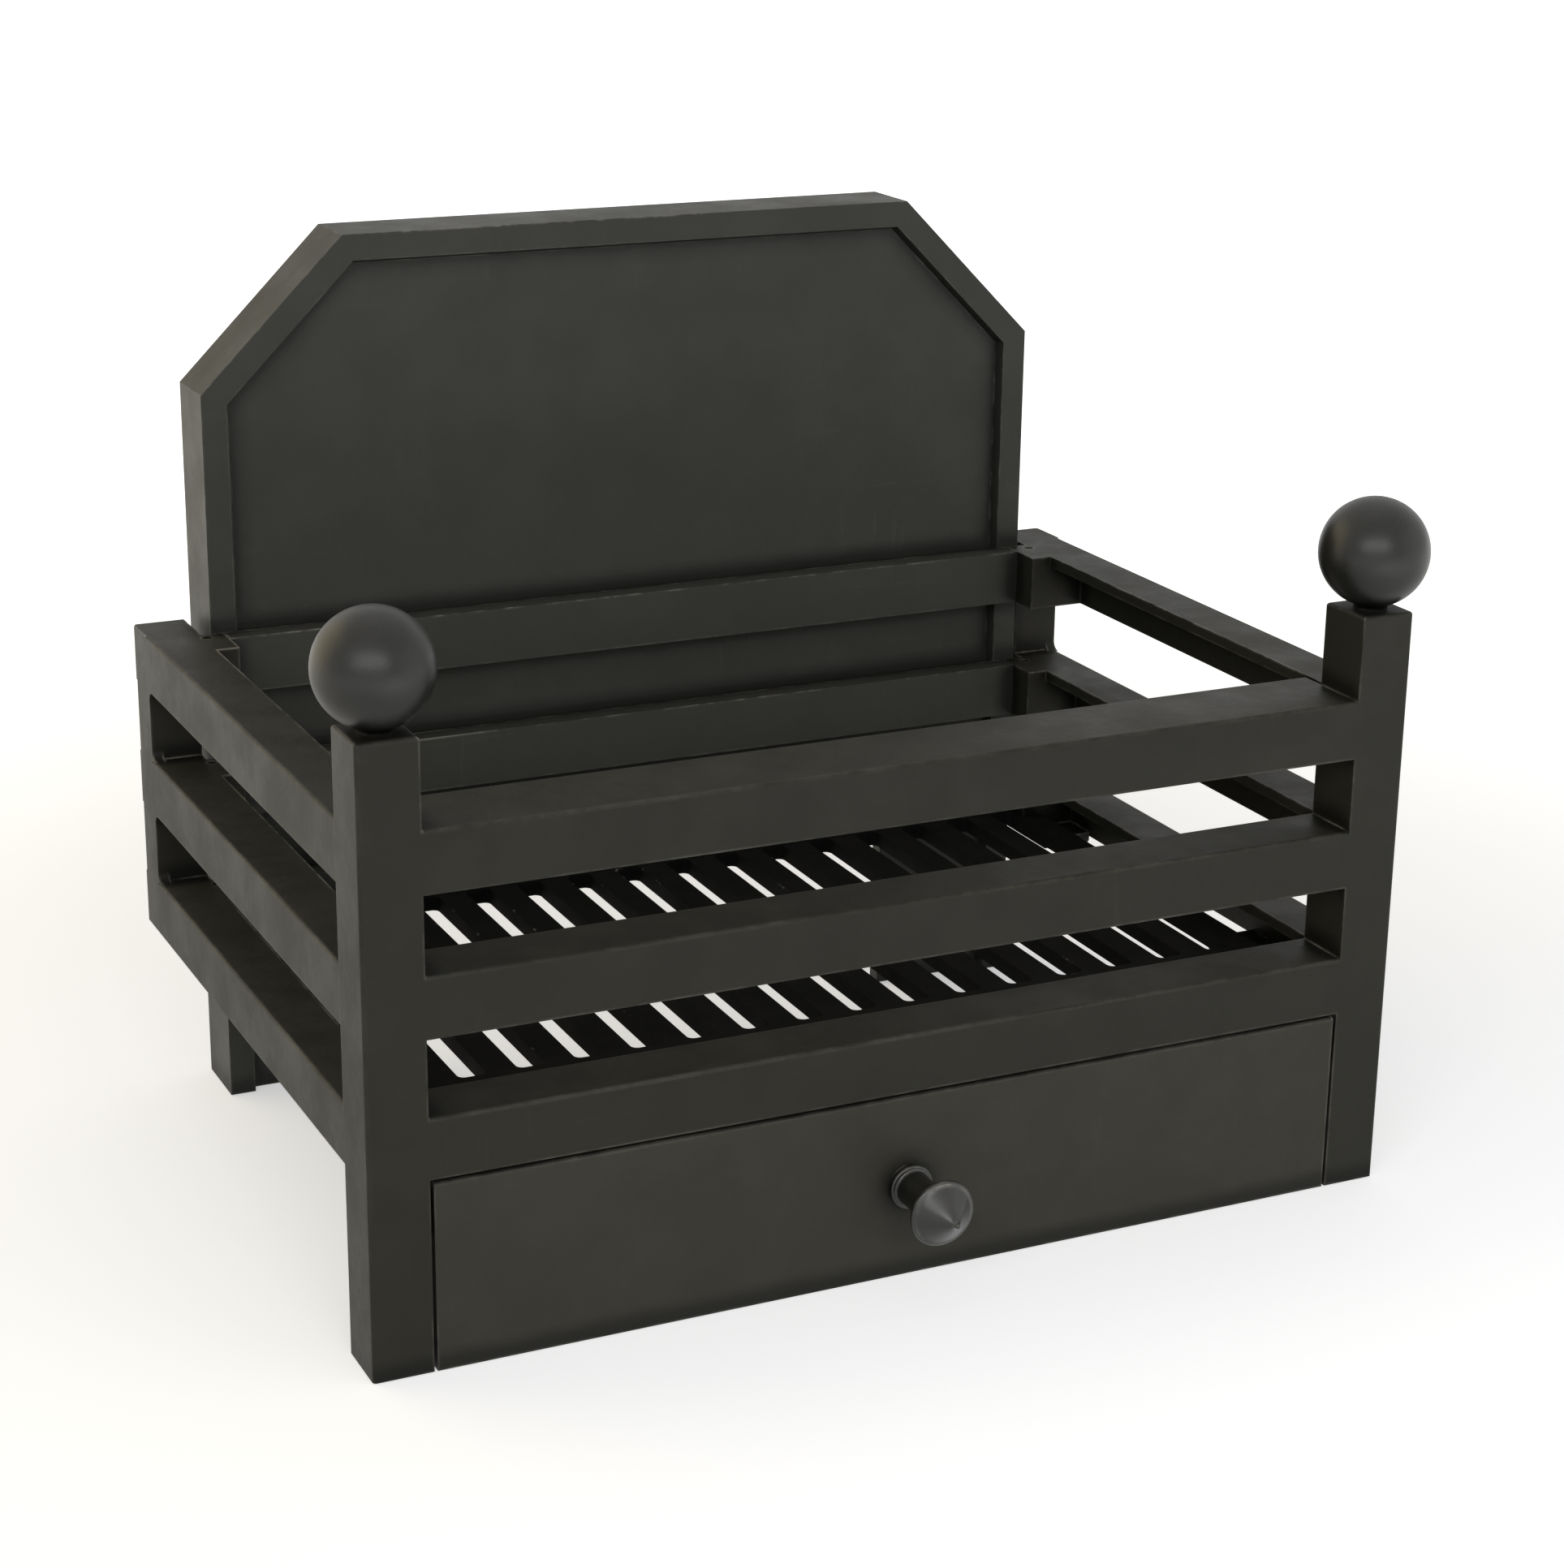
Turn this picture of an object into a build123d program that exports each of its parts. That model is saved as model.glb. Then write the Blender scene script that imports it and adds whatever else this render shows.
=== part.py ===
from build123d import *
import os

# Fire basket, 18 inch size, all lengths in millimetres.
# While it is drawn, Y runs backwards from the front faces of the front frame.
# save() moves every piece so that the origin is the centre of the footprint.

# Front frame: two posts and three bars in one casting
front_width = 457.0
post_width = 24.6
post_depth = 27.0
post_height = 255.5
rail_height = 25.0
rail_pitch = 57.0
bottom_rail_z = 80.5
rail_count = 3
bar_wall = 6.0
bar_depth = 28.0
top_bar_depth = 40.0
edge_round = 1.5

# Side frames: three rails of angle section with a solid rear post
side_wall = 5.0
side_flange_width = 22.5
side_frame_length = 284.0
rear_post_depth = 21.0
corner_round = 4.5
tab_thickness = 8.0

# Inside lugs of the side frames, which take the back rails
lug_width = 32.5
lug_depth = 25.0
tenon_length = 15.0
tenon_height = 14.0
tenon_gap = 0.3
pin_diameter = 4.0
pin_inset = 9.0
pin_recess = 1.5
pin_bite = 3.0

# Corner ledges that carry the bottom grate
ledge_width = 23.5
ledge_thickness = 6.0
ledge_front_length = 68.0
ledge_back_length = 18.0

# Back rails, set in from the rear end of the side frames
back_rail_setback = 28.0
back_rail_thickness = 10.0

# Fireback: a tall tray with clipped corners that stands on two feet
fireback_side_gap = 4.5
fireback_height = 390.0
fireback_clip = 65.0
fireback_depth = 33.0
rim_width = 11.5
rim_step = 5.0
rim_slope = 1.5
panel_thickness = 7.5
flange_root = 10.0
flange_lip = 8.0
foot_width = 69.0
arch_drop = 1.5
arch_corner_round = 8.0
boss_diameter = 18.0
boss_spread = 240.0

# Bottom grate: a slotted plate that drops onto the ledges
grate_below_rail_top = 16.0
grate_thickness = 7.0
grate_side_gap = 1.0
grate_gap = 1.5
slot_count = 16
slot_width = 12.0
slot_border_sides = 12.0
slot_border_front = 24.5
slot_border_back = 6.0
slot_end_round = 3.0
grate_rib_width = 8.0
grate_rib_depth = 6.0

# Ash cover with its turned knob
cover_side_gap = 1.4
cover_top_gap = 1.5
cover_thickness = 5.0
cover_foot_depth = 30.0
cover_foot_side_gap = 12.0
stop_size = 9.0
stop_height = 14.0
stop_gap = 0.4
knob_reach = 42.0
knob_diameter = 28.0
knob_neck_diameter = 14.5
knob_collar_diameter = 19.0
knob_collar_thickness = 3.0
knob_edge = 3.0
knob_cone_height = 12.5
knob_flare = 7.0

# Ball finials
ball_diameter = 46.0
ball_lift = 0.6
neck_diameter = 14.0
stud_diameter = 8.0
stud_in_post = 15.0
stud_in_ball = 15.0

# Screws, each with its shank, the width across its head and the head's height
frame_screw = (8.0, 13.0, 5.3)
panel_screw = (6.0, 10.0, 4.0)
screw_clearance = 0.2
hole_end_gap = 2.0
frame_screw_bite = 12.0
panel_screw_bite = 6.0
knob_screw_bite = 12.0

# Places worked out from the sizes above
half_width = front_width / 2
post_inner = half_width - post_width
post_x = half_width - post_width / 2
rail_levels = [bottom_rail_z + rail_pitch * i for i in range(rail_count)]
top_level = rail_levels[-1]
wall_inner = half_width - side_wall
flange_inner = half_width - side_flange_width
side_rear = post_depth + side_frame_length
rear_post_front = side_rear - rear_post_depth
lug_inner = half_width - lug_width
ledge_inner = wall_inner - ledge_width
back_rail_rear = side_rear - back_rail_setback
back_rail_front = back_rail_rear - back_rail_thickness
lug_front = back_rail_rear - lug_depth
tenon_rise = (rail_height - tenon_height) / 2
tab_screw_x = (flange_inner + wall_inner) / 2
tab_screw_rise = (rail_height - side_wall) / 2
fireback_front = back_rail_rear
panel_front = fireback_front + rim_step
panel_rear = panel_front + panel_thickness
fireback_rear = fireback_front + fireback_depth
fireback_half = flange_inner - fireback_side_gap
grate_z = bottom_rail_z + rail_height - grate_below_rail_top - grate_thickness
grate_half = flange_inner - grate_side_gap
grate_front = top_bar_depth + grate_gap
grate_back = back_rail_front - grate_gap
cover_height = bottom_rail_z - cover_top_gap
cover_half = post_inner - cover_side_gap
knob_z = cover_height / 2
origin_shift = (knob_reach - fireback_rear) / 2


def block(x0, x1, y0, y1, z0, z1):
    """A rectangular solid between two corners."""
    base = Pos((x0 + x1) / 2, (y0 + y1) / 2, z0) * Rectangle(x1 - x0, y1 - y0)
    return extrude(base, z1 - z0)


def facing_back(x, y, z):
    """A plane whose normal runs backwards, for what is drawn in front view and extruded to the rear."""
    return Plane((x, y, z), x_dir=(-1, 0, 0), z_dir=(0, 1, 0))


def screw_hole(screw, x, y, z, depth):
    """A round hole for a screw, drilled forwards from y over the given depth."""
    mouth = Plane((x, y, z), z_dir=(0, -1, 0))
    return mouth * extrude(Circle(screw[0] / 2 + screw_clearance), depth)


def hex_screw(screw, x, y, z, grip):
    """A hexagon screw that points forwards, with the face under its head at y."""
    shank, flats, head_height = screw
    head = extrude(RegularPolygon(flats / 2, 6, major_radius=False, rotation=30), -head_height)
    head = chamfer(head.edges().group_by(Axis.Z)[0], head_height / 10)
    seat = Plane((x, y, z), x_dir=(1, 0, 0), z_dir=(0, -1, 0))
    return seat * (head + extrude(Circle(shank / 2), grip))


def mirrored(solid):
    """The same piece for the other side."""
    return mirror(solid, about=Plane.YZ)


def save(node, solid):
    """Move a piece from the drawing position to the shared frame and write its file."""
    moved = Pos(0, origin_shift, 0) * solid
    moved.label = node
    export_step(moved, f"parts/{node}.step")


def front_post():
    """The right post, drilled for the finial's stud and for the screws of the side frame."""
    post = block(post_inner, half_width, 0, post_depth, 0, post_height)
    top_edges = post.edges().group_by(Axis.Z)[-1]
    outer_front = post.edges().filter_by(Axis.Z).group_by(Axis.X)[-1].sort_by(Axis.Y)[0]
    post = fillet([*top_edges, outer_front], edge_round)
    stud_bottom = Pos(post_x, post_depth / 2, post_height - stud_in_post)
    post -= stud_bottom * extrude(Circle(stud_diameter / 2 + screw_clearance), stud_in_post)
    for level in rail_levels:
        depth = frame_screw_bite + hole_end_gap
        post -= screw_hole(frame_screw, tab_screw_x, post_depth, level + tab_screw_rise, depth)
    stop_y = cover_thickness + stop_gap
    stop_z = cover_height - stop_height - stop_size
    post += block(post_inner - stop_size, post_inner, stop_y, stop_y + stop_size, stop_z, stop_z + stop_height)
    return post


def front_bar(level, depth):
    """One front bar of angle section: a front wall and a top flange, rounded at the top edges."""
    top = level + rail_height
    section = Polyline(
        (0, level),
        (0, top),
        (depth, top),
        (depth, top - bar_wall),
        (bar_wall, top - bar_wall),
        (bar_wall, level),
        close=True,
    )
    face = make_face(section)
    face = fillet(face.vertices().group_by(Axis.Y)[-1], edge_round)
    bar = extrude(Plane((-post_inner, 0, 0), x_dir=(0, 1, 0), z_dir=(1, 0, 0)) * face, post_inner * 2)
    return bar


def front_frame():
    """Ladder front: the two posts and the three bars, flush at their front faces."""
    frame = front_post()
    frame += mirrored(front_post())
    for level in rail_levels:
        depth = top_bar_depth if level == top_level else bar_depth
        frame += front_bar(level, depth)
    return frame


def side_rail(level):
    """One rail of a side frame, of angle section, with the tab that is screwed to the front post."""
    top = level + rail_height
    section = Polyline(
        (half_width, level),
        (half_width, top),
        (flange_inner, top),
        (flange_inner, top - side_wall),
        (wall_inner, top - side_wall),
        (wall_inner, level),
        close=True,
    )
    face = make_face(section)
    outer_top = face.vertices().group_by(Axis.Y)[-1].sort_by(Axis.X)[-1]
    face = fillet(outer_top, edge_round)
    start = Plane((0, post_depth, 0), x_dir=(1, 0, 0), z_dir=(0, -1, 0))
    rail = extrude(start * face, -side_frame_length)
    tab_rear = post_depth + tab_thickness
    rail += block(flange_inner, wall_inner, post_depth, tab_rear, level, top - side_wall)
    return rail - screw_hole(frame_screw, tab_screw_x, tab_rear, level + tab_screw_rise, tab_thickness)


def rear_lug(level):
    """Inside lug at the rear of one rail, with the slot for a back rail's tenon and the pin's hole."""
    top = level + rail_height
    lug = block(lug_inner, wall_inner, lug_front, back_rail_rear, level, top)
    lug += block(flange_inner, wall_inner, back_rail_rear, rear_post_front, level, top)
    slot_floor = level + tenon_rise
    slot_end = lug_inner + tenon_length + tenon_gap
    slot_roof = slot_floor + tenon_height + tenon_gap
    lug -= block(lug_inner, slot_end, back_rail_front - tenon_gap, back_rail_rear, slot_floor, slot_roof)
    return lug


def pin_place(level):
    """Foot of the upright pin that locks one tenon in its lug."""
    return Pos(lug_inner + pin_inset, back_rail_front + back_rail_thickness / 2, level + tenon_rise - pin_bite)


def pin_hole(level):
    """The pin's hole, open at the top of the lug."""
    depth = rail_height - tenon_rise + pin_bite
    return pin_place(level) * extrude(Circle(pin_diameter / 2 + screw_clearance), depth)


def grate_ledges():
    """The two ledges of one side frame that the bottom grate's corners rest on."""
    low = grate_z - ledge_thickness
    front = block(ledge_inner, wall_inner, post_depth, post_depth + ledge_front_length, low, grate_z)
    back = block(ledge_inner, wall_inner, lug_front - ledge_back_length, back_rail_rear, low, grate_z)
    toe_edges = front.edges().filter_by(Axis.X).group_by(Axis.Y)[-1].sort_by(Axis.Z)[0]
    front = fillet(toe_edges, ledge_thickness / 2)
    toe_edges = back.edges().filter_by(Axis.X).group_by(Axis.Y)[0].sort_by(Axis.Z)[0]
    back = fillet(toe_edges, ledge_thickness / 2)
    return [front, back]


def window_corners(z0, z1):
    """Rounded rear corners of one opening of a side frame."""
    middle = (z0 + z1) / 2
    square = Pos(rear_post_front - corner_round / 2, middle) * Rectangle(corner_round, z1 - z0)
    window_length = corner_round * 4
    window = Pos(rear_post_front - window_length / 2, middle) * RectangleRounded(window_length, z1 - z0, corner_round)
    return extrude(Plane((wall_inner, 0, 0), x_dir=(0, 1, 0), z_dir=(1, 0, 0)) * (square - window), side_wall)


def side_frame():
    """The right side frame: three rails, the rear post, the rear lugs and the grate's ledges."""
    frame = block(flange_inner, half_width, rear_post_front, side_rear, bottom_rail_z, top_level + rail_height)
    frame = fillet(frame.edges().filter_by(Axis.Z).group_by(Axis.Y)[-1], edge_round)
    for level in rail_levels:
        frame += side_rail(level)
        frame += rear_lug(level)
    frame += grate_ledges()
    for level in rail_levels[:-1]:
        frame += window_corners(level + rail_height, level + rail_pitch)
    for level in rail_levels:
        frame -= pin_hole(level)
    return frame


def panel_screw_places(level):
    """X and Z of the screws that hold the fireback to one back rail."""
    return [(x, level + rail_height / 2) for x in (-boss_spread / 2, boss_spread / 2)]


def back_rail(level, screwed):
    """One back rail with a tenon at each end and, where the fireback is held, blind screw holes."""
    rail = block(-lug_inner, lug_inner, back_rail_front, back_rail_rear, level, level + rail_height)
    reach = lug_inner + tenon_length
    low = level + tenon_rise
    rail += block(-reach, reach, back_rail_front, back_rail_rear, low, low + tenon_height)
    rail -= pin_hole(level)
    rail -= mirrored(pin_hole(level))
    if screwed:
        for x, z in panel_screw_places(level):
            rail -= screw_hole(panel_screw, x, back_rail_rear, z, panel_screw_bite + screw_clearance)
    return rail


def fireback_outline(inset):
    """Front view of the fireback, moved inwards by inset and left open at the floor."""
    half = fireback_half
    shoulder = fireback_height - fireback_clip
    below = -2 * rim_width
    outline = Polyline(
        (-half, below),
        (-half, shoulder),
        (-half + fireback_clip, fireback_height),
        (half - fireback_clip, fireback_height),
        (half, shoulder),
        (half, below),
        close=True,
    )
    face = make_face(outline)
    return offset(face, amount=-inset, kind=Kind.INTERSECTION) if inset else face


def sloped_hollow(y0, inset0, y1, inset1):
    """A hollow with the fireback's outline whose walls lean from one inset to the other."""
    near = facing_back(0, y0, 0) * fireback_outline(inset0)
    far = facing_back(0, y1, 0) * fireback_outline(inset1)
    return loft([near, far], ruled=True)


def fireback():
    """Fireback: a raised rim round a sunk panel, a deep flange behind, screw bosses and two feet."""
    plate = extrude(facing_back(0, fireback_front, 0) * fireback_outline(0), fireback_depth)
    plate = plate & block(-front_width, front_width, fireback_front, fireback_rear, 0, fireback_height)
    plate -= sloped_hollow(fireback_front, rim_width, panel_front, rim_width + rim_slope)
    plate -= sloped_hollow(panel_rear, flange_root, fireback_rear, flange_lip)
    arch_top = bottom_rail_z - arch_drop
    arch = RectangleRounded(2 * (fireback_half - foot_width), arch_top * 2, arch_corner_round)
    plate -= extrude(facing_back(0, fireback_front, 0) * arch, fireback_depth)
    for level in (bottom_rail_z, top_level):
        for x, z in panel_screw_places(level):
            plate += facing_back(x, fireback_front, z) * extrude(Circle(boss_diameter / 2), rim_step)
            plate -= screw_hole(panel_screw, x, panel_rear, z, panel_thickness + rim_step)
    return plate


def bottom_grate():
    """Bottom grate: a plate with long slots and a cross rib underneath."""
    plate = block(-grate_half, grate_half, grate_front, grate_back, 0, grate_thickness)
    notch = block(lug_inner - grate_gap, front_width, lug_front - grate_gap, side_rear, 0, grate_thickness)
    plate -= notch
    plate -= mirrored(notch)
    plate = fillet(plate.edges().filter_by(Axis.Z), slot_end_round)
    slot_front = grate_front + slot_border_front
    slot_back = grate_back - slot_border_back
    slot_middle = (slot_front + slot_back) / 2
    first = -grate_half + slot_border_sides + slot_width / 2
    pitch = -2 * first / (slot_count - 1)
    outline = RectangleRounded(slot_width, slot_back - slot_front, slot_end_round)
    for index in range(slot_count):
        plate -= Pos(first + pitch * index, slot_middle) * extrude(outline, grate_thickness)
    rib = block(first, -first, slot_middle - grate_rib_width / 2, slot_middle + grate_rib_width / 2, -grate_rib_depth, 0)
    rib = chamfer(rib.edges().filter_by(Axis.X).group_by(Axis.Z)[0], grate_rib_width / 5)
    return Pos(0, 0, grate_z) * (plate + rib)


def ash_cover():
    """Cover plate that stands between the posts on a foot turned backwards."""
    plate = block(-cover_half, cover_half, 0, cover_thickness, 0, cover_height)
    plate = fillet(plate.edges().group_by(Axis.Z)[-1].filter_by(Axis.X), edge_round)
    foot_half = cover_half - cover_foot_side_gap
    foot = block(-foot_half, foot_half, cover_thickness, cover_foot_depth, 0, cover_thickness)
    foot = fillet(foot.edges().filter_by(Axis.Z).group_by(Axis.Y)[-1], cover_foot_side_gap)
    plate += foot
    return plate - screw_hole(panel_screw, 0, cover_thickness, knob_z, cover_thickness)


def knob():
    """Turned knob: collar, neck, a disc that flares from it and a pointed front."""
    neck = knob_neck_diameter / 2
    edge = knob_diameter / 2
    disc_front = knob_reach - knob_cone_height
    disc_back = disc_front - knob_edge
    flare_start = disc_back - knob_flare
    collar = knob_collar_diameter / 2
    outline = [
        Line((0, 0), (collar, 0)),
        Line((collar, 0), (collar, knob_collar_thickness)),
        Line((collar, knob_collar_thickness), (neck, knob_collar_thickness)),
        Line((neck, knob_collar_thickness), (neck, flare_start)),
        TangentArc((neck, flare_start), (edge - knob_edge / 2, disc_back), tangent=(0, 1)),
        RadiusArc((edge - knob_edge / 2, disc_back), (edge - knob_edge / 2, disc_front), -knob_edge / 2),
        Line((edge - knob_edge / 2, disc_front), (0, knob_reach)),
        Line((0, knob_reach), (0, 0)),
    ]
    turned = revolve(Plane.XZ * make_face(Wire(outline)), Axis.Z)
    turned -= extrude(Circle(panel_screw[0] / 2 + screw_clearance), knob_screw_bite + hole_end_gap)
    return Plane((0, 0, knob_z), z_dir=(0, -1, 0)) * turned


def finial():
    """Ball finial of the right post with its short neck, bored for the stud."""
    foot = Pos(post_x, post_depth / 2, post_height)
    ball = Pos(0, 0, ball_lift + ball_diameter / 2) * Sphere(ball_diameter / 2)
    ball += extrude(Circle(neck_diameter / 2), ball_diameter / 4)
    bore = extrude(Circle(stud_diameter / 2 + screw_clearance), stud_in_ball + hole_end_gap)
    return foot * (ball - bore)


def finial_stud():
    """Stud that joins the right post and its ball."""
    bottom = Pos(post_x, post_depth / 2, post_height - stud_in_post)
    return bottom * extrude(Circle(stud_diameter / 2), stud_in_post + stud_in_ball)


def frame_screws():
    """The screws that hold the right side frame to its front post."""
    seat = post_depth + tab_thickness
    grip = tab_thickness + frame_screw_bite
    heights = [level + tab_screw_rise for level in rail_levels]
    return Compound(children=[hex_screw(frame_screw, tab_screw_x, seat, z, grip) for z in heights])


def rail_pins():
    """The upright pins that lock the back rails in the right lugs."""
    length = rail_height - tenon_rise + pin_bite - pin_recess
    return Compound(children=[pin_place(level) * extrude(Circle(pin_diameter / 2), length) for level in rail_levels])


def fireback_screws():
    """The screws from behind that hold the fireback to the top and bottom back rails."""
    grip = panel_rear - back_rail_rear + panel_screw_bite
    places = panel_screw_places(bottom_rail_z) + panel_screw_places(top_level)
    return Compound(children=[hex_screw(panel_screw, x, panel_rear, z, grip) for x, z in places])


def knob_screw():
    """Screw from behind the cover into the knob."""
    return hex_screw(panel_screw, 0, cover_thickness, knob_z, cover_thickness + knob_screw_bite)


os.makedirs("parts", exist_ok=True)
save("front_frame", front_frame())
save("side_frame_right", side_frame())
save("side_frame_left", mirrored(side_frame()))
save("back_rail_bottom", back_rail(rail_levels[0], True))
save("back_rail_middle", back_rail(rail_levels[1], False))
save("back_rail_top", back_rail(top_level, True))
save("fireback", fireback())
save("bottom_grate", bottom_grate())
save("ash_cover", ash_cover())
save("cover_knob", knob())
save("knob_screw", knob_screw())
save("finial_right", finial())
save("finial_left", mirrored(finial()))
save("finial_stud_right", finial_stud())
save("finial_stud_left", mirrored(finial_stud()))
save("frame_screws_right", frame_screws())
save("frame_screws_left", mirrored(frame_screws()))
save("rail_pins_right", rail_pins())
save("rail_pins_left", mirrored(rail_pins()))
save("fireback_screws", fireback_screws())
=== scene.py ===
from math import cos, pi, radians, sin

import bmesh
import bpy
from bpy.props import FloatProperty, FloatVectorProperty, IntProperty, PointerProperty
from mathutils import Matrix, Vector


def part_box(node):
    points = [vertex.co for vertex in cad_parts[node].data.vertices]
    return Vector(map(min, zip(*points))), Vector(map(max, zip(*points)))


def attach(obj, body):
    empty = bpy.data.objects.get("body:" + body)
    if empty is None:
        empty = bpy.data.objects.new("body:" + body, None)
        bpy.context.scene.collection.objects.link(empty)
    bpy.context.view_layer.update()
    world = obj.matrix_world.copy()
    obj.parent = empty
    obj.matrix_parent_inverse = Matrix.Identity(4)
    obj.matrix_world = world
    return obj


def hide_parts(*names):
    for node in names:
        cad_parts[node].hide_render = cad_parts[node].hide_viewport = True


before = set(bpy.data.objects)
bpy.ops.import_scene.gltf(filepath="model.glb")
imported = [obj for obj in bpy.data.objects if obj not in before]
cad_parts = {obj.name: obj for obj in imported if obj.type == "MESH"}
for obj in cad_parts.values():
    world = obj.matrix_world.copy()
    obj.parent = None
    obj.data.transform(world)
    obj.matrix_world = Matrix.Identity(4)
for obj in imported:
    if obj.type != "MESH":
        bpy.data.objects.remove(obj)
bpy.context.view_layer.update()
SHOWN_WIDTH, SHOWN_HEIGHT = 1927, 1932

bl_info = {
    "name": "Fire Basket Finish",
    "version": (1, 0, 0),
    "blender": (4, 5, 0),
    "location": "3D View > Sidebar > Fire Basket",
    "description": "Finishes a cast iron fire basket and sets it on a pale floor under soft light",
    "category": "Object",
}

FRAME_CASTINGS = ("front_frame", "side_frame_left", "side_frame_right")
BACK_RAILS = ("back_rail_top", "back_rail_middle", "back_rail_bottom")
FASTENERS = (
    "finial_stud_left",
    "finial_stud_right",
    "frame_screws_left",
    "frame_screws_right",
    "rail_pins_left",
    "rail_pins_right",
    "fireback_screws",
    "knob_screw",
)

WHITE = (1.0, 1.0, 1.0)

# Shares of the paint's colour in its dark and light patches, where it is rubbed, and in the painted shade
# of inner corners.
DARK_PATCH, LIGHT_PATCH = 0.94, 1.06
RUBBED_PAINT, CORNER_SHADE_SHARE = 1.9, 0.2
CORNER_SHADE_AMOUNT = 0.85

# How far the light patches lower the roughness, and how far dust raises it.
PATCH_GLOSS, DUST_DULLNESS = 0.10, 0.35
BUMP_STRENGTH = 0.55

# The two directions of rub marks: a turn about Y, and how close the noise is along X, Y and Z.
STREAKS = ((0.35, (14.0, 14.0, 260.0)), (-0.9, (200.0, 18.0, 22.0)))

# Joined edges of the front and side frames that turn by more than this are rounded, in this many steps.
CAST_EDGE_ANGLE = radians(40)
CAST_EDGE_STEPS = 2

# Edges of turned pieces that turn by more than this stay crisp. A smaller radius is a point on the axis.
CRISP_ANGLE = radians(50)
ON_AXIS = 1e-6

# The inputs and the output of a Mix node that it uses for colours.
MIX_INPUTS, MIX_OUTPUT = (0, 6, 7), 2

# Each lamp: name, setting with its power, place, the point it looks at, width and height, colour.
LAMPS = (
    ("key", "key_power", (-1.45, 1.30, 0.95), (0, 0, 0.15), (1.9, 1.9), (1.0, 0.80, 0.34)),
    ("top", "top_power", (0.3, 0.4, 2.2), (0, 0, 0.15), (1.5, 1.5), WHITE),
    ("front", "front_power", (-0.95, -1.85, 1.3), (0, 0, 0.2), (2.4, 0.8), WHITE),
    ("right", "right_power", (2.1, -1.7, 0.8), (0, 0, 0.15), (2.2, 2.2), WHITE),
    ("floor lamp", "floor_power", (0.25, -0.95, 0.26), (0.25, -0.95, 0), (0.9, 0.6), WHITE),
)

# The floor: half its side, its squares each way, and how far it lies below the feet.
FLOOR_HALF, FLOOR_SQUARES, FLOOR_DROP = 6.0, 8, 0.0004
FLOOR_ROUGHNESS = 0.8

# The floor's own glow in the picture: near the object, how much it grows, and from where to where.
GLOW_NEAR, GLOW_GROWTH = 0.45, 0.65
GLOW_FROM, GLOW_TO = 0.4, 1.5

# The camera: place, the way back from what it sees, turn of its level line, roll, and shift in pixels.
CAMERA_PLACE = (-0.5673, -1.1960, 0.6109)
CAMERA_BACK = (-0.4042, -0.8584, 0.3160)
CAMERA_TURN, CAMERA_ROLL = radians(-25.22), radians(0.63)
SHIFT_RIGHT_PX, SHIFT_UP_PX = 26.5, -4.0
SENSOR_WIDTH = 36.0
CLIP_NEAR, CLIP_FAR = 0.05, 50.0


def colour_prop(name, text, default):
    """A colour that the user can set, in linear values."""
    return FloatVectorProperty(
        name=name, description=text, subtype="COLOR", size=3, min=0, max=1, default=default
    )


def length_prop(name, text, default):
    """A length that the user can set, in metres."""
    return FloatProperty(
        name=name, description=text, subtype="DISTANCE", unit="LENGTH", min=0, default=default
    )


def factor_prop(name, text, default):
    """A share from nothing to all that the user can set."""
    return FloatProperty(name=name, description=text, subtype="FACTOR", min=0, max=1, default=default)


def power_prop(name, text, default):
    """A lamp's power that the user can set, in watts."""
    return FloatProperty(name=name, description=text, unit="POWER", min=0, default=default)


class IronFinish(bpy.types.PropertyGroup):
    """Colours of the blackened iron, with its painted shade in corners and its pale edges, partly rubbed
    paint and partly painted highlight.
    """

    frame_colour: colour_prop("Frame paint", "Stove paint on the front and sides", (0.0185, 0.0180, 0.0135))
    fireback_colour: colour_prop(
        "Fireback paint", "Stove paint on the fireback and back rails", (0.0340, 0.0345, 0.0290)
    )
    grate_colour: colour_prop("Grate iron", "Plain iron of the bottom grate", (0.007, 0.007, 0.0065))
    cover_colour: colour_prop("Cover paint", "Stove paint on the ash cover", (0.030, 0.0290, 0.0225))
    turned_colour: colour_prop("Turned iron", "Balls and knob", (0.0060, 0.0060, 0.0045))
    screw_colour: colour_prop(
        "Screw steel", "Blackened steel of screws, pins and studs", (0.035, 0.034, 0.032)
    )
    # The pale edge colour, its amount and its width make a pale band along edges, partly rubbed paint and
    # partly painted highlight.
    worn_and_highlight_colour: colour_prop("Pale edge", "Where the paint has rubbed off an edge", (0.240, 0.230, 0.195))
    dust_colour: colour_prop("Dust", "Fine dust lying on upward faces", (0.060, 0.055, 0.043))
    edge_wear_and_highlight: factor_prop("Edge wear", "How much of each edge is rubbed", 0.55)
    dust_amount: factor_prop("Dust amount", "How much dust lies on upward faces", 0.35)
    cast_grain: length_prop("Casting grain", "Size of the sand casting's grain", 0.0011)
    # Reach of the painted shade that darkens inner corners.
    shade_reach: length_prop("Shade reach", "How far soot reaches out of an inner corner", 0.011)
    edge_width: length_prop("Pale width", "Width of the rubbed band at an edge", 0.0017)


class CastingSizes(bpy.types.PropertyGroup):
    """Sizes of the shapes that are finished here."""

    edge_round: length_prop("Cast edge", "Rounding of the frames' few joined edges", 0.0009)
    turned_steps: IntProperty(
        name="Turned steps", description="Steps round a turned piece", default=96, min=24
    )


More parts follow.
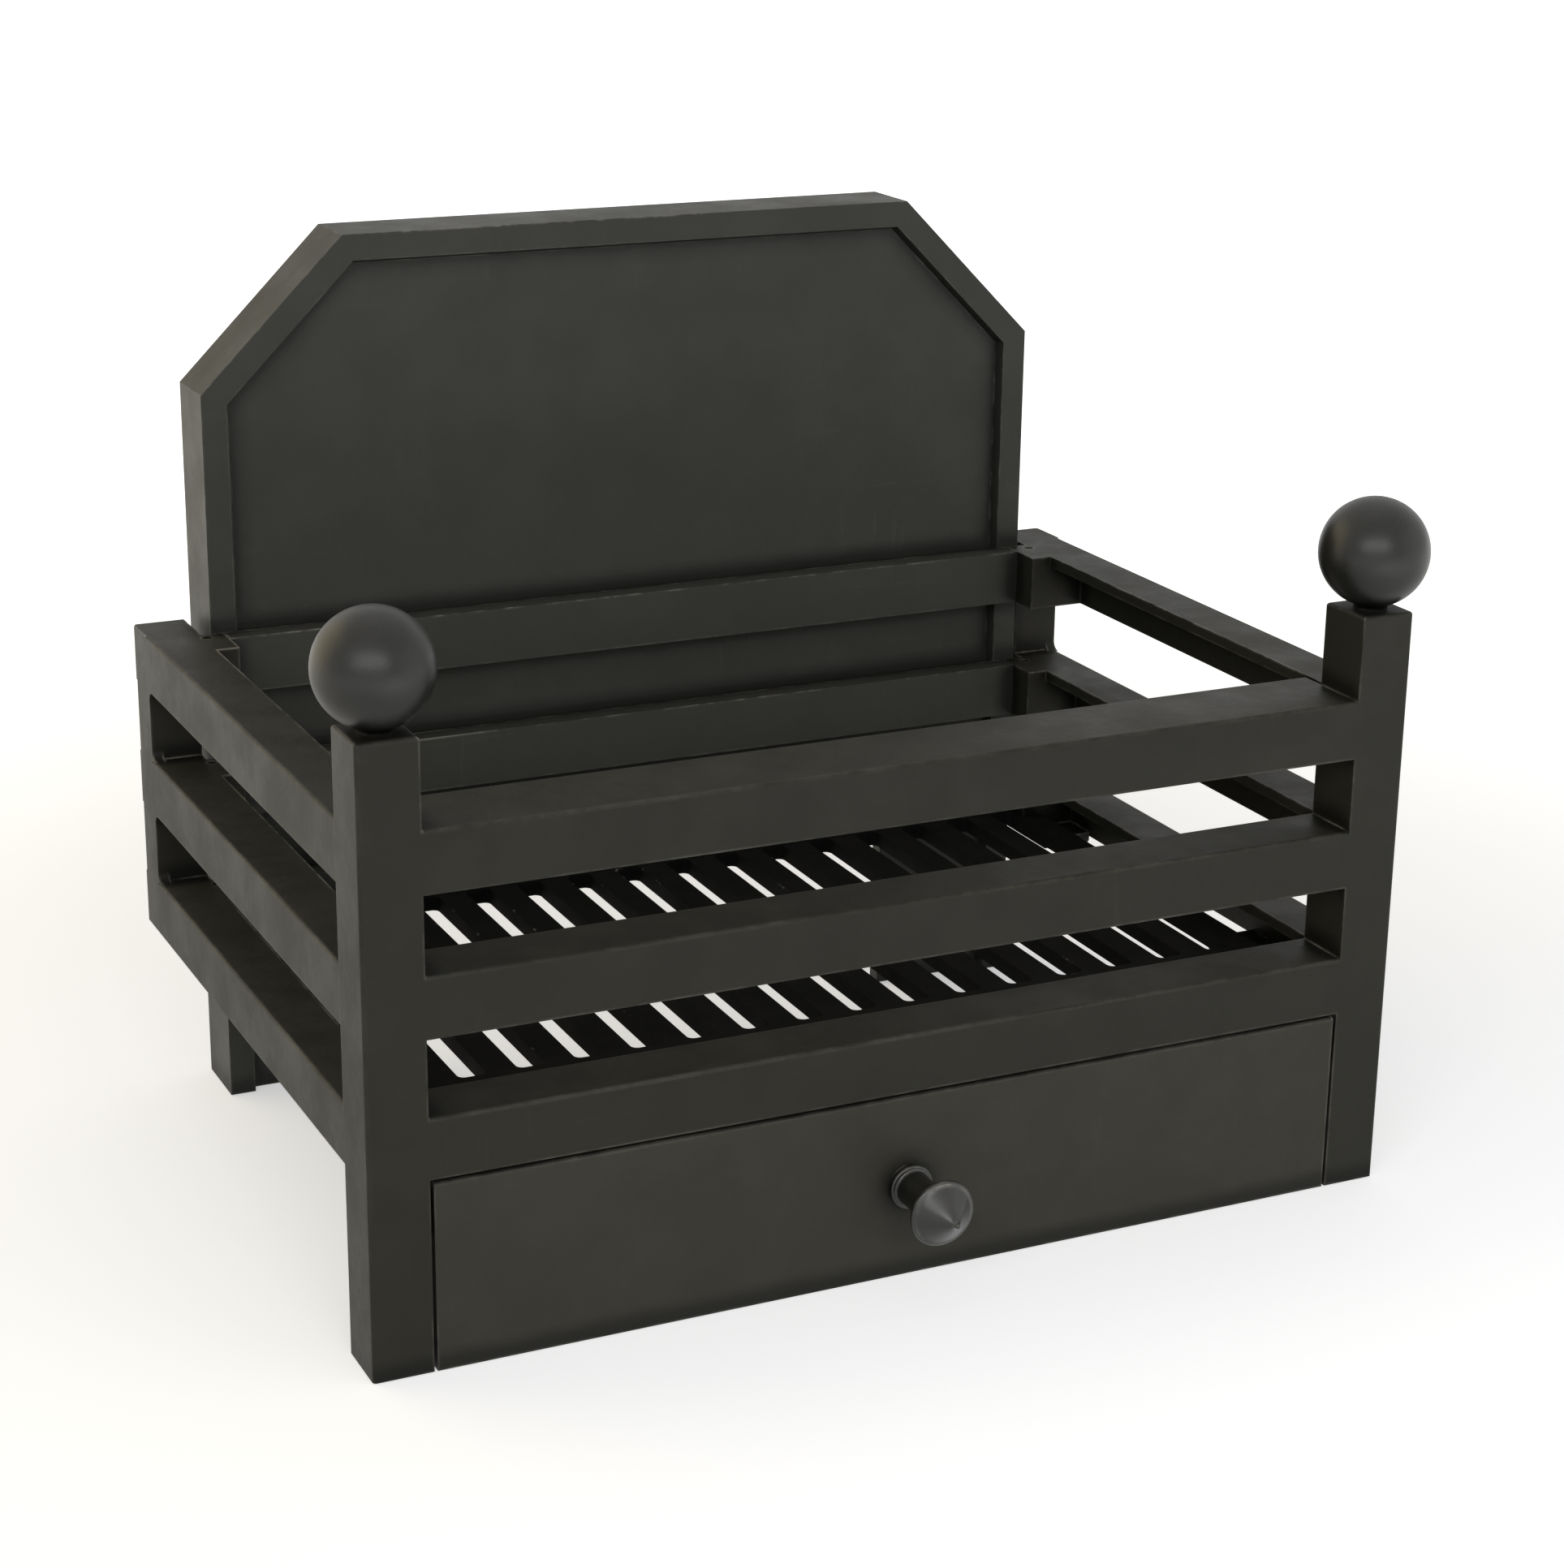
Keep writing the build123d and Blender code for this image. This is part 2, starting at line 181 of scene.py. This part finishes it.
class StageSettings(bpy.types.PropertyGroup):
    """Floor, light and camera."""

    floor_colour: colour_prop("Floor", "Colour of the floor", (0.80, 0.80, 0.80))
    key_power: power_prop("Key lamp", "Power of the lamp on the left, behind", 13.0)
    top_power: power_prop("Top lamp", "Power of the lamp above", 1.5)
    front_power: power_prop("Front lamp", "Power of the lamp in front", 24.0)
    right_power: power_prop("Right lamp", "Power of the lamp on the right", 7.0)
    floor_power: power_prop("Floor lamp", "Power of the lamp over the floor in front", 5.0)
    sky_strength: FloatProperty(name="Sky", description="Strength of the plain sky", default=0.31, min=0)
    lens_px: FloatProperty(
        name="Lens", description="Focal length in pixels of the picture", default=4013.0, min=1
    )


def settings(name):
    """One group of settings of the scene."""
    return getattr(bpy.context.scene, name)


def opaque(colour, share=1.0):
    """A colour, or a share of it, with the fourth value that sockets take."""
    return (*(v * share for v in colour), 1.0)


def group_shell(name, inputs, outputs):
    """An empty node group with named sockets, or None if it is there already."""
    if name in bpy.data.node_groups:
        return None
    tree = bpy.data.node_groups.new(name, "ShaderNodeTree")
    tree.interface.new_socket(name="Place", in_out="INPUT", socket_type="NodeSocketVector")
    for label, default in inputs.items():
        socket = tree.interface.new_socket(name=label, in_out="INPUT", socket_type="NodeSocketFloat")
        socket.default_value = default
    for label in outputs:
        tree.interface.new_socket(name=label, in_out="OUTPUT", socket_type="NodeSocketFloat")
    return tree


class Wiring:
    """Short calls that add nodes to a tree and join them."""

    def __init__(self, tree):
        self.tree = tree

    def add(self, kind, **values):
        """A new node with its settings."""
        node = self.tree.nodes.new(kind)
        for key, value in values.items():
            setattr(node, key, value)
        return node

    def join(self, source, target):
        """Join an output to an input."""
        self.tree.links.new(source, target)

    def put(self, value, socket):
        """Join a socket or write a number into one."""
        if isinstance(value, bpy.types.NodeSocket):
            self.join(value, socket)
        else:
            socket.default_value = value

    def calc(self, operation, a, b, c=0.0, clamp=False):
        """The result of a Math node."""
        node = self.add("ShaderNodeMath", operation=operation, use_clamp=clamp)
        for value, socket in zip((a, b, c), node.inputs):
            self.put(value, socket)
        return node.outputs[0]

    def noise(self, place, scale, detail, rough):
        """Noise at a place."""
        node = self.add("ShaderNodeTexNoise")
        self.join(place, node.inputs["Vector"])
        self.put(scale, node.inputs["Scale"])
        node.inputs["Detail"].default_value = detail
        node.inputs["Roughness"].default_value = rough
        return node.outputs["Fac"]

    def ramp(self, value, low, high):
        """Map a range to 0 to 1, softly."""
        node = self.add("ShaderNodeMapRange", interpolation_type="SMOOTHSTEP")
        self.join(value, node.inputs["Value"])
        self.put(low, node.inputs["From Min"])
        self.put(high, node.inputs["From Max"])
        return node.outputs["Result"]

    def blend(self, factor, a, b):
        """One colour that goes over into another."""
        node = self.add("ShaderNodeMix", data_type="RGBA")
        for value, index in zip((factor, a, b), MIX_INPUTS):
            self.put(value, node.inputs[index])
        return node.outputs[MIX_OUTPUT]


def open_group(tree):
    """The wiring, the inputs and the output sockets of a node group."""
    wire = Wiring(tree)
    inner = wire.add("NodeGroupInput")
    outer = wire.add("NodeGroupOutput")
    return wire, inner.outputs, outer.inputs


def cast_grain_group():
    """Height of a sand casting's skin, fine grain, soft lumps and a few pits, and its soft patches."""
    tree = group_shell("cast grain", {"Grain Size": 0.001}, ("Height", "Patches"))
    if tree is None:
        return
    wire, ins, outs = open_group(tree)
    place = ins["Place"]
    # How close the lumps, pits and patches lie against the grain, and how high lumps and pits are.
    lumps, pits, patches = 0.12, 0.28, 0.035
    lump_height, pit_height = 1.6, 0.35
    per_grain = wire.calc("DIVIDE", 1.0, ins["Grain Size"])
    fine = wire.noise(place, per_grain, detail=3.0, rough=0.6)
    lump = wire.noise(place, wire.calc("MULTIPLY", per_grain, lumps), detail=3.0, rough=0.5)
    pit = wire.add("ShaderNodeTexVoronoi")
    wire.join(place, pit.inputs["Vector"])
    wire.join(wire.calc("MULTIPLY", per_grain, pits), pit.inputs["Scale"])
    pit_depth = wire.ramp(pit.outputs["Distance"], low=0.0, high=0.22)
    grain = wire.calc("MULTIPLY_ADD", lump, lump_height, fine)
    wire.join(wire.calc("MULTIPLY_ADD", pit_depth, pit_height, grain), outs["Height"])
    patch = wire.noise(place, wire.calc("MULTIPLY", per_grain, patches), detail=5.0, rough=0.6)
    wire.join(patch, outs["Patches"])


def mask_group(name):
    """An empty node group that gives a mask at a place, or None if it is there already."""
    return group_shell(name, {"Amount": 0.5}, ("Mask",))


def edge_wear_and_highlight_group():
    """Mask of pale edges, partly rubbed paint and partly painted highlight: where a rounded normal leaves
    the face's own, broken up by noise.

    Edges that face upwards are palest.
    """
    tree = mask_group("edge wear")
    if tree is None:
        return
    wire, ins, outs = open_group(tree)
    soft = wire.add("ShaderNodeBevel", samples=6)
    soft.inputs["Radius"].default_value = settings("iron_finish").edge_width
    plain = wire.add("ShaderNodeNewGeometry")
    match = wire.add("ShaderNodeVectorMath", operation="DOT_PRODUCT")
    wire.join(soft.outputs["Normal"], match.inputs[0])
    wire.join(plain.outputs["True Normal"], match.inputs[1])
    turn = wire.calc("SUBTRACT", 1.0, match.outputs["Value"])
    broken = wire.noise(ins["Place"], scale=95.0, detail=5.0, rough=0.65)
    coarse = wire.noise(ins["Place"], scale=14.0, detail=3.0, rough=0.5)
    mixed = wire.calc("MULTIPLY_ADD", coarse, 0.8, broken)
    least = wire.calc("MULTIPLY_ADD", ins["Amount"], -0.9, 1.20)
    gate = wire.ramp(mixed, low=least, high=1.15)
    split = wire.add("ShaderNodeSeparateXYZ")
    wire.join(soft.outputs["Normal"], split.inputs[0])
    other_edges = 0.25
    up = wire.ramp(split.outputs["Z"], low=0.25, high=0.60)
    upward = wire.calc("MULTIPLY_ADD", up, 1.0 - other_edges, other_edges)
    edge = wire.calc("MULTIPLY", wire.ramp(turn, low=0.004, high=0.05), upward)
    wire.join(wire.calc("MULTIPLY", edge, gate, clamp=True), outs["Mask"])


def lying_dust_group():
    """Mask of dust: upward faces, patchy, with fine speckle."""
    tree = mask_group("lying dust")
    if tree is None:
        return
    wire, ins, outs = open_group(tree)
    plain = wire.add("ShaderNodeNewGeometry")
    split = wire.add("ShaderNodeSeparateXYZ")
    wire.join(plain.outputs["Normal"], split.inputs[0])
    patch_share, speck_share = 0.8, 0.4
    up = wire.ramp(split.outputs["Z"], low=0.25, high=0.95)
    patch = wire.ramp(wire.noise(ins["Place"], scale=40.0, detail=6.0, rough=0.7), low=0.30, high=0.75)
    speck = wire.ramp(wire.noise(ins["Place"], scale=700.0, detail=2.0, rough=0.6), low=0.45, high=0.75)
    spread = wire.calc("MULTIPLY_ADD", speck, speck_share, wire.calc("MULTIPLY", patch, patch_share))
    lying = wire.calc("MULTIPLY", up, spread)
    wire.join(wire.calc("MULTIPLY", lying, ins["Amount"], clamp=True), outs["Mask"])


def rub_marks_group():
    """Mask of light rub marks: thin streaks that run in two directions inside soft patches."""
    tree = mask_group("rub marks")
    if tree is None:
        return
    wire, ins, outs = open_group(tree)
    streaks = []
    for turn, stretch in STREAKS:
        bend = wire.add("ShaderNodeMapping")
        bend.inputs["Rotation"].default_value = (0.0, turn, 0.0)
        bend.inputs["Scale"].default_value = stretch
        wire.join(ins["Place"], bend.inputs["Vector"])
        lines = wire.noise(bend.outputs[0], scale=1.0, detail=3.0, rough=0.6)
        streaks.append(wire.ramp(lines, low=0.58, high=0.76))
    both = wire.calc("MAXIMUM", streaks[0], streaks[1])
    patch = wire.ramp(wire.noise(ins["Place"], scale=16.0, detail=5.0, rough=0.65), low=0.42, high=0.70)
    patch_share = 0.20
    cloud = wire.calc("MULTIPLY_ADD", patch, patch_share, wire.calc("MULTIPLY", both, patch))
    wire.join(wire.calc("MULTIPLY", cloud, ins["Amount"], clamp=True), outs["Mask"])


def corner_shade_group():
    """Mask of painted shade in inner corners: where near faces close a point in."""
    tree = mask_group("corner soot")
    if tree is None:
        return
    wire, ins, outs = open_group(tree)
    near = wire.add("ShaderNodeAmbientOcclusion", samples=8)
    near.inputs["Distance"].default_value = settings("iron_finish").shade_reach
    closed = wire.calc("SUBTRACT", 1.0, near.outputs["AO"])
    uneven = wire.noise(ins["Place"], scale=60.0, detail=4.0, rough=0.6)
    ragged = wire.calc("MULTIPLY_ADD", uneven, 0.8, 0.6)
    painted_shade = wire.ramp(wire.calc("MULTIPLY", closed, ragged), low=0.03, high=0.22)
    wire.join(wire.calc("MULTIPLY", painted_shade, ins["Amount"], clamp=True), outs["Mask"])


def place_group(wire, name, place, **values):
    """Put a shared effect into a material with its own values."""
    node = wire.add("ShaderNodeGroup", node_tree=bpy.data.node_groups[name])
    wire.join(place, node.inputs["Place"])
    for key, value in values.items():
        node.inputs[key.replace("_", " ")].default_value = value
    return node.outputs


def iron_material(name, colour, rough, wear_and_highlight=1.0, dust=1.0, rub=0.0, grain=1.0, depth=0.00016,
                  metal=0.0, shine=0.22):
    """Blackened iron: patchy paint over a cast skin, with rub marks, dust, painted shade in inner corners,
    and pale edges that are partly rubbed paint and partly painted highlight.
    """
    finish = settings("iron_finish")
    cast_grain_group()
    edge_wear_and_highlight_group()
    lying_dust_group()
    rub_marks_group()
    corner_shade_group()
    material = bpy.data.materials.new(name)
    material.use_nodes = True
    wire = Wiring(material.node_tree)
    shader = material.node_tree.nodes["Principled BSDF"]
    place = wire.add("ShaderNodeTexCoord").outputs["Object"]
    skin = place_group(wire, "cast grain", place, Grain_Size=finish.cast_grain * grain)
    patches = wire.ramp(skin["Patches"], low=0.32, high=0.70)
    paint = wire.blend(patches, opaque(colour, DARK_PATCH), opaque(colour, LIGHT_PATCH))
    rubbed = place_group(wire, "rub marks", place, Amount=rub)["Mask"]
    paint = wire.blend(rubbed, paint, opaque(colour, RUBBED_PAINT))
    dusty = place_group(wire, "lying dust", place, Amount=finish.dust_amount * dust)["Mask"]
    paint = wire.blend(dusty, paint, opaque(finish.dust_colour))
    # Painted shade: the paint darkens in inner corners, where near faces close a point in.
    painted_shade = place_group(wire, "corner soot", place, Amount=CORNER_SHADE_AMOUNT)["Mask"]
    paint = wire.blend(painted_shade, paint, opaque(colour, CORNER_SHADE_SHARE))
    # Pale band along edges: partly rubbed paint, partly painted highlight, palest on edges that face
    # upwards.
    worn_and_highlight = place_group(wire, "edge wear", place, Amount=finish.edge_wear_and_highlight * wear_and_highlight)["Mask"]
    paint = wire.blend(worn_and_highlight, paint, opaque(finish.worn_and_highlight_colour))
    wire.join(paint, shader.inputs["Base Color"])
    gloss = wire.calc("MULTIPLY_ADD", patches, -PATCH_GLOSS, rough + PATCH_GLOSS / 2)
    gloss = wire.calc("MULTIPLY_ADD", dusty, DUST_DULLNESS, gloss, clamp=True)
    wire.join(gloss, shader.inputs["Roughness"])
    shader.inputs["Metallic"].default_value = metal
    shader.inputs["Specular IOR Level"].default_value = shine
    bump = wire.add("ShaderNodeBump")
    bump.inputs["Strength"].default_value = BUMP_STRENGTH
    bump.inputs["Distance"].default_value = depth
    wire.join(skin["Height"], bump.inputs["Height"])
    wire.join(bump.outputs["Normal"], shader.inputs["Normal"])
    return material


def dress(node, material):
    """Give a solid its finish."""
    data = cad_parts[node].data
    data.materials.clear()
    data.materials.append(material)


def round_edges(node):
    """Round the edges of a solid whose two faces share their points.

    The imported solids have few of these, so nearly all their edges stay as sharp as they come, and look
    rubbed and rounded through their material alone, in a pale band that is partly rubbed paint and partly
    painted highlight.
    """
    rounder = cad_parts[node].modifiers.new("cast edges", "BEVEL")
    rounder.width = settings("casting_sizes").edge_round
    rounder.segments = CAST_EDGE_STEPS
    rounder.limit_method = "ANGLE"
    rounder.angle_limit = CAST_EDGE_ANGLE
    rounder.harden_normals = True


def turned(name, profile, material, body, node, seat):
    """A turned piece: rings of a (radius, height) profile round the local Z axis, closed at both ends."""
    steps = settings("casting_sizes").turned_steps
    angles = [2 * pi * i / steps for i in range(steps)]
    mesh = bmesh.new()
    rings = []
    for radius, height in profile:
        if radius < ON_AXIS:
            rings.append([mesh.verts.new((0.0, 0.0, height))])
        else:
            rings.append([mesh.verts.new((radius * cos(a), radius * sin(a), height)) for a in angles])
    for low, high in zip(rings, rings[1:]):
        for i in range(steps):
            j = (i + 1) % steps
            corners = [low[i % len(low)], low[j % len(low)], high[j % len(high)], high[i % len(high)]]
            mesh.faces.new(list(dict.fromkeys(corners)))
    bmesh.ops.recalc_face_normals(mesh, faces=mesh.faces)
    mesh.transform(seat)
    data = bpy.data.meshes.new(name)
    mesh.to_mesh(data)
    mesh.free()
    for face in data.polygons:
        face.use_smooth = True
    data.materials.append(material)
    piece = bpy.data.objects.new(name, data)
    bpy.context.scene.collection.objects.link(piece)
    sharp = piece.modifiers.new("crisp steps", "EDGE_SPLIT")
    sharp.split_angle = CRISP_ANGLE
    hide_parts(node)
    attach(piece, body)


def arc(centre_r, centre_h, radius, start, end, steps):
    """Points of an arc in a profile, with angles in degrees from the outward direction."""
    angles = [radians(start + (end - start) * i / steps) for i in range(steps + 1)]
    return [(centre_r + radius * cos(a), centre_h + radius * sin(a)) for a in angles]


def knob_profile(edge, reach):
    """The knob from its seat outwards: collar, fillet, neck, flare, rounded rim and low cone."""
    collar, collar_length, collar_round = 0.0095, 0.0022, 0.0008
    fillet, fillet_radius, fillet_height = 0.0012, 0.0085, 0.0042
    neck, neck_end = 0.00725, 0.018
    flare_start, flare_length, flare_steps = 0.0195, 0.0070, 8
    rim_round, cone_length, cone_steps = 0.0015, 0.0125, 9
    tip, tip_length = 0.0009, 0.0003
    rim = edge - rim_round
    cone_start = reach - cone_length
    cone_rise = reach - 2 * tip_length - cone_start
    profile = [(0.0, 0.0), (collar, 0.0), (collar, collar_length)]
    profile += arc(collar - collar_round, collar_length, collar_round, 0, 90, 4)
    profile += arc(fillet_radius, fillet_height, fillet, -90, -180, 5)
    profile.append((neck, neck_end))
    for step in range(1, flare_steps):
        share = step / flare_steps
        profile.append((neck + (rim - neck) * share ** 1.9, flare_start + flare_length * share ** 0.8))
    profile += arc(rim, cone_start - rim_round, rim_round, -90, 90, 8)
    for step in range(1, cone_steps):
        profile.append((rim * (1 - step / cone_steps), cone_start + cone_rise * step / cone_steps))
    return profile + [(tip, reach - tip_length), (0.0, reach)]


def ball_profile(radius, centre):
    """A ball on its short neck, with the middle of the ball at a given height."""
    neck, neck_length = 0.0070, 0.0010
    lowest, top, steps = -70, 90, 44
    ball = arc(0.0, centre, radius, lowest, top, steps)[:-1]
    return [(0.0, 0.0), (neck, 0.0), (neck, neck_length), *ball, (0.0, centre + radius)]


class FIREBASKET_OT_frame(bpy.types.Operator):
    """Finish the front frame and the side frames"""

    bl_idname = "firebasket.frame"
    bl_label = "Front and sides"

    def execute(self, context):
        finish = settings("iron_finish")
        paint = iron_material("frame_iron", finish.frame_colour, rough=0.48, rub=0.25, shine=0.15)
        for node in FRAME_CASTINGS:
            dress(node, paint)
            round_edges(node)
        return {"FINISHED"}


class FIREBASKET_OT_fireback(bpy.types.Operator):
    """Finish the fireback and the back rails before it"""

    bl_idname = "firebasket.fireback"
    bl_label = "Fireback and back rails"

    def execute(self, context):
        finish = settings("iron_finish")
        paint = iron_material(
            "fireback_iron", finish.fireback_colour, rough=0.50, rub=0.32, wear_and_highlight=0.8, grain=1.2
        )
        dress("fireback", paint)
        for node in BACK_RAILS:
            dress(node, paint)
        return {"FINISHED"}


class FIREBASKET_OT_grate(bpy.types.Operator):
    """Finish the bottom grate"""

    bl_idname = "firebasket.grate"
    bl_label = "Bottom grate"

    def execute(self, context):
        finish = settings("iron_finish")
        iron = iron_material(
            "grate_iron", finish.grate_colour, rough=0.80, wear_and_highlight=0.3, dust=0.3, shine=0.06
        )
        dress("bottom_grate", iron)
        return {"FINISHED"}


class FIREBASKET_OT_cover(bpy.types.Operator):
    """Finish the ash cover and turn its knob"""

    bl_idname = "firebasket.cover"
    bl_label = "Ash cover and knob"

    def execute(self, context):
        finish = settings("iron_finish")
        paint = iron_material("cover_iron", finish.cover_colour, rough=0.48, rub=0.30, shine=0.17)
        dress("ash_cover", paint)
        iron = iron_material(
            "knob_iron", finish.turned_colour, rough=0.34, wear_and_highlight=0.9, grain=0.6, depth=0.00006, shine=0.55
        )
        low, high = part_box("cover_knob")
        profile = knob_profile((high.x - low.x) / 2, high.y - low.y)
        foot = Matrix.Translation(((low.x + high.x) / 2, high.y, (low.z + high.z) / 2))
        seat = foot @ Matrix.Rotation(pi / 2, 4, "X")
        turned("knob_turned", profile, iron, "cover", "cover_knob", seat)
        return {"FINISHED"}


class FIREBASKET_OT_finials(bpy.types.Operator):
    """Turn the two balls with their necks"""

    bl_idname = "firebasket.finials"
    bl_label = "Ball finials"

    def execute(self, context):
        finish = settings("iron_finish")
        iron = iron_material("finial_iron", finish.turned_colour, rough=0.38, wear_and_highlight=0.5, dust=0.6,
                             grain=0.8, depth=0.00008, shine=0.38)
        for side in ("left", "right"):
            node = f"finial_{side}"
            low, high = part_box(node)
            radius = (high.x - low.x) / 2
            profile = ball_profile(radius, high.z - low.z - radius)
            seat = Matrix.Translation(((low.x + high.x) / 2, (low.y + high.y) / 2, low.z))
            turned(f"ball_{side}", profile, iron, "frame", node, seat)
        return {"FINISHED"}


class FIREBASKET_OT_fasteners(bpy.types.Operator):
    """Finish the screws, pins and studs"""

    bl_idname = "firebasket.fasteners"
    bl_label = "Screws, pins and studs"

    def execute(self, context):
        finish = settings("iron_finish")
        steel = iron_material("fastener_steel", finish.screw_colour, rough=0.42, dust=0.5, grain=0.4,
                              depth=0.00005, metal=0.5)
        for node in FASTENERS:
            dress(node, steel)
        return {"FINISHED"}


def area_lamp(name, power, place, aim, size, colour):
    """Hang a soft lamp, of a given width and height, that looks at a point."""
    data = bpy.data.lights.new(name, "AREA")
    data.shape = "RECTANGLE"
    data.size, data.size_y = size
    data.energy = power
    data.color = colour
    lamp = bpy.data.objects.new(name, data)
    lamp.location = place
    lamp.rotation_euler = (Vector(aim) - Vector(place)).to_track_quat("-Z", "Y").to_euler()
    bpy.context.scene.collection.objects.link(lamp)


def shown_rays(wire):
    """One for what the camera sees, straight or in a shiny surface, and nothing for other light."""
    path = wire.add("ShaderNodeLightPath")
    seen = wire.calc("ADD", path.outputs["Is Camera Ray"], path.outputs["Is Glossy Ray"])
    return wire.calc("ADD", seen, path.outputs["Is Transmission Ray"], clamp=True)


class FIREBASKET_OT_stage(bpy.types.Operator):
    """Lay the floor, hang the lamps and place the camera"""

    bl_idname = "firebasket.stage"
    bl_label = "Floor, light and camera"

    def execute(self, context):
        stage = settings("stage_settings")
        context.scene.view_settings.view_transform = "Standard"
        self.lay_floor(stage)
        self.set_sky(stage)
        for name, power, place, aim, size, colour in LAMPS:
            area_lamp(name, getattr(stage, power), place, aim, size, colour)
        self.place_camera(stage)
        return {"FINISHED"}

    def lay_floor(self, stage):
        """A wide floor that is white to the camera and keeps a soft shadow."""
        mesh = bmesh.new()
        bmesh.ops.create_grid(mesh, x_segments=FLOOR_SQUARES, y_segments=FLOOR_SQUARES, size=FLOOR_HALF)
        data = bpy.data.meshes.new("floor")
        mesh.to_mesh(data)
        mesh.free()
        floor = bpy.data.objects.new("floor", data)
        floor.location.z = -FLOOR_DROP
        bpy.context.scene.collection.objects.link(floor)
        material = bpy.data.materials.new("floor")
        material.use_nodes = True
        wire = Wiring(material.node_tree)
        shader = material.node_tree.nodes["Principled BSDF"]
        shader.inputs["Base Color"].default_value = opaque(stage.floor_colour)
        shader.inputs["Roughness"].default_value = FLOOR_ROUGHNESS
        place = wire.add("ShaderNodeTexCoord").outputs["Object"]
        away = wire.add("ShaderNodeVectorMath", operation="LENGTH")
        wire.join(place, away.inputs[0])
        far = wire.ramp(away.outputs["Value"], low=GLOW_FROM, high=GLOW_TO)
        glow = wire.calc("MULTIPLY_ADD", far, GLOW_GROWTH, GLOW_NEAR)
        wire.join(wire.calc("MULTIPLY", shown_rays(wire), glow), shader.inputs["Emission Strength"])
        shader.inputs["Emission Color"].default_value = opaque(WHITE)
        data.materials.append(material)

    def set_sky(self, stage):
        """A plain sky: soft light on the object and white behind it."""
        world = bpy.data.worlds.new("sky")
        world.use_nodes = True
        bpy.context.scene.world = world
        wire = Wiring(world.node_tree)
        lit = world.node_tree.nodes["Background"]
        lit.inputs["Color"].default_value = opaque(WHITE)
        lit.inputs["Strength"].default_value = stage.sky_strength
        shown = wire.add("ShaderNodeBackground")
        shown.inputs["Color"].default_value = opaque(WHITE)
        shown.inputs["Strength"].default_value = 1.0
        both = wire.add("ShaderNodeMixShader")
        wire.join(shown_rays(wire), both.inputs["Fac"])
        wire.join(lit.outputs[0], both.inputs[1])
        wire.join(shown.outputs[0], both.inputs[2])
        wire.join(both.outputs[0], world.node_tree.nodes["World Output"].inputs["Surface"])

    def place_camera(self, stage):
        """The camera of the photograph, in the shared frame."""
        data = bpy.data.cameras.new("camera")
        data.sensor_width = SENSOR_WIDTH
        longest = max(SHOWN_WIDTH, SHOWN_HEIGHT)
        data.lens = data.sensor_width * stage.lens_px / longest
        data.shift_x = SHIFT_RIGHT_PX / longest
        data.shift_y = SHIFT_UP_PX / longest
        data.clip_start = CLIP_NEAR
        data.clip_end = CLIP_FAR
        back = Vector(CAMERA_BACK).normalized()
        level = Vector((cos(CAMERA_TURN), sin(CAMERA_TURN), 0.0))
        upright = back.cross(level)
        right = level * cos(CAMERA_ROLL) + upright * sin(CAMERA_ROLL)
        up = -level * sin(CAMERA_ROLL) + upright * cos(CAMERA_ROLL)
        axes = Matrix((right, up, back)).transposed().to_4x4()
        camera = bpy.data.objects.new("camera", data)
        camera.matrix_world = Matrix.Translation(CAMERA_PLACE) @ axes
        bpy.context.scene.collection.objects.link(camera)
        bpy.context.scene.camera = camera


OPERATORS = (
    FIREBASKET_OT_frame,
    FIREBASKET_OT_fireback,
    FIREBASKET_OT_grate,
    FIREBASKET_OT_cover,
    FIREBASKET_OT_finials,
    FIREBASKET_OT_fasteners,
    FIREBASKET_OT_stage,
)
GROUPS = {"iron_finish": IronFinish, "casting_sizes": CastingSizes, "stage_settings": StageSettings}


class FIREBASKET_PT_panel(bpy.types.Panel):
    """Sidebar panel with every step of the finish"""

    bl_idname = "FIREBASKET_PT_panel"
    bl_label = "Fire Basket"
    bl_space_type = "VIEW_3D"
    bl_region_type = "UI"
    bl_category = "Fire Basket"

    def draw(self, context):
        for step in OPERATORS:
            self.layout.operator(step.bl_idname, text=step.bl_label)
        for name, group in GROUPS.items():
            part = self.layout.box()
            for label in group.__annotations__:
                part.prop(getattr(context.scene, name), label)


CLASSES = (*GROUPS.values(), *OPERATORS, FIREBASKET_PT_panel)


def register():
    for kind in CLASSES:
        bpy.utils.register_class(kind)
    for name, group in GROUPS.items():
        setattr(bpy.types.Scene, name, PointerProperty(type=group))


def unregister():
    for name in GROUPS:
        delattr(bpy.types.Scene, name)
    for kind in reversed(CLASSES):
        bpy.utils.unregister_class(kind)


def main():
    register()
    for step in OPERATORS:
        area, name = step.bl_idname.split(".")
        getattr(getattr(bpy.ops, area), name)()


if __name__ == "__main__":
    main()
